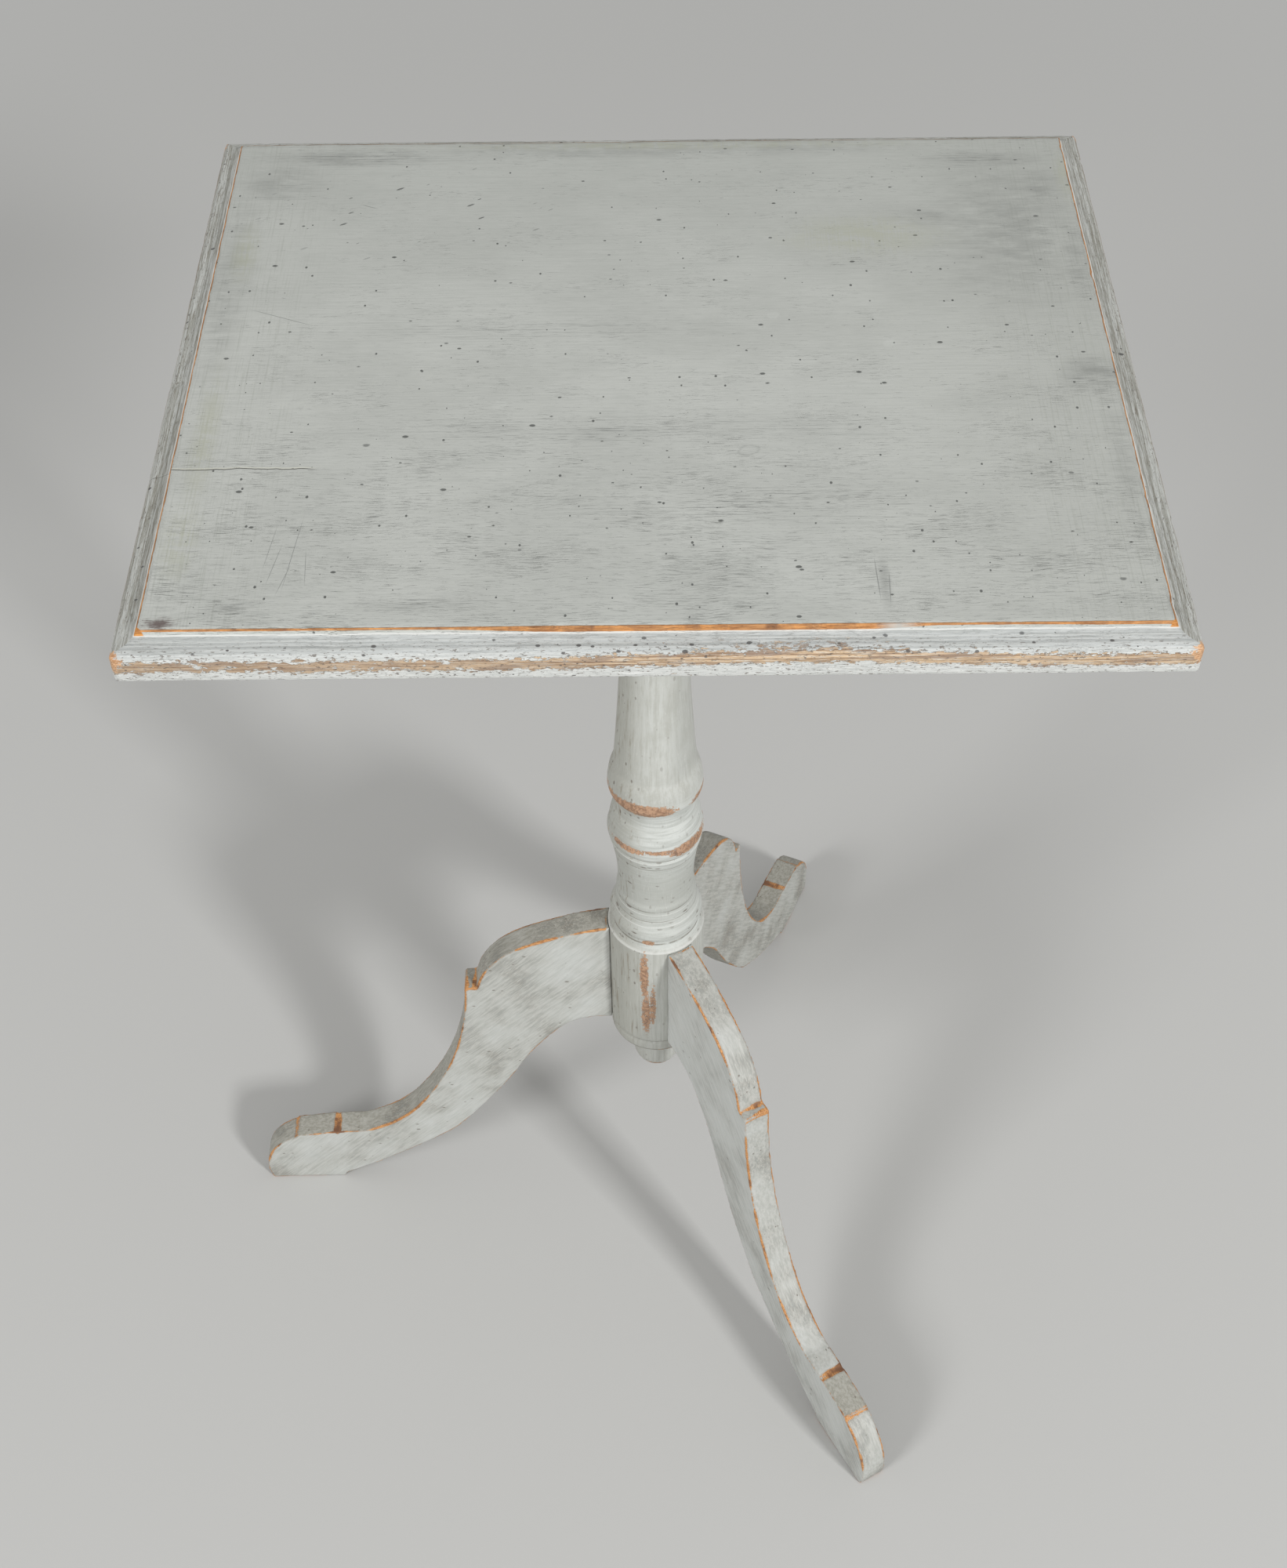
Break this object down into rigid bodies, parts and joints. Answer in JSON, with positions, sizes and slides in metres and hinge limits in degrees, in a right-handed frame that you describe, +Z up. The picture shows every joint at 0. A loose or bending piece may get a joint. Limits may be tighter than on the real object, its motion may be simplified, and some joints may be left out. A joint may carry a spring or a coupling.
{
  "type": "tilt top table",
  "caption": "Painted pedestal table on a tripod of scroll legs, with a rectangular moulded top that tips up to vertical on a pivot block.",
  "frame": {"origin": "on the floor, at the centre of the table's footprint box; the column stands 27 mm to +X and 6 mm to -Y of it", "axes": "+Z up, the top's long side along X, the pivot parallel to X and behind the column, +Y to the rear"},
  "size_m": [0.5232, 0.5218, 0.74],
  "materials": {
    "painted_top": "worn matt grey-white paint over pine",
    "painted_stand": "worn matt grey-green paint over birch",
    "bare_pine": "bare aged pine",
    "bare_birch": "bare aged birch",
    "dark_iron": "dull hand-filed iron"
  },
  "bodies": {
    "stand": {"column": "painted_stand", "column_drop": "painted_stand", "leg_left": "painted_stand", "leg_front": "painted_stand", "leg_rear": "painted_stand", "pivot_block": "bare_pine", "tenon_wedge": "bare_birch"},
    "top": {"top_board_front": "painted_top", "top_board_middle": "painted_top", "top_board_rear": "painted_top", "board_tongues": "bare_pine", "batten_left": "bare_pine", "batten_right": "bare_pine", "batten_nails": "dark_iron", "pivot_pin_left": "bare_birch", "pivot_pin_right": "bare_birch", "button_screw": "dark_iron", "button_washer": "dark_iron"},
    "button": {"turn_button": "bare_birch"}
  },
  "joints": [
    {"name": "top_tilt", "type": "hinge", "parent": "stand", "child": "top", "pos_m": [0.02656, 0.03917, 0.702], "axis": [-1, 0, 0], "range_deg": [0, 90]},
    {"name": "button_turn", "type": "hinge", "parent": "top", "child": "button", "pos_m": [0.08906, -0.03983, 0.679], "axis": [0, 0, 1], "range_deg": [-90, 90]}
  ]
}
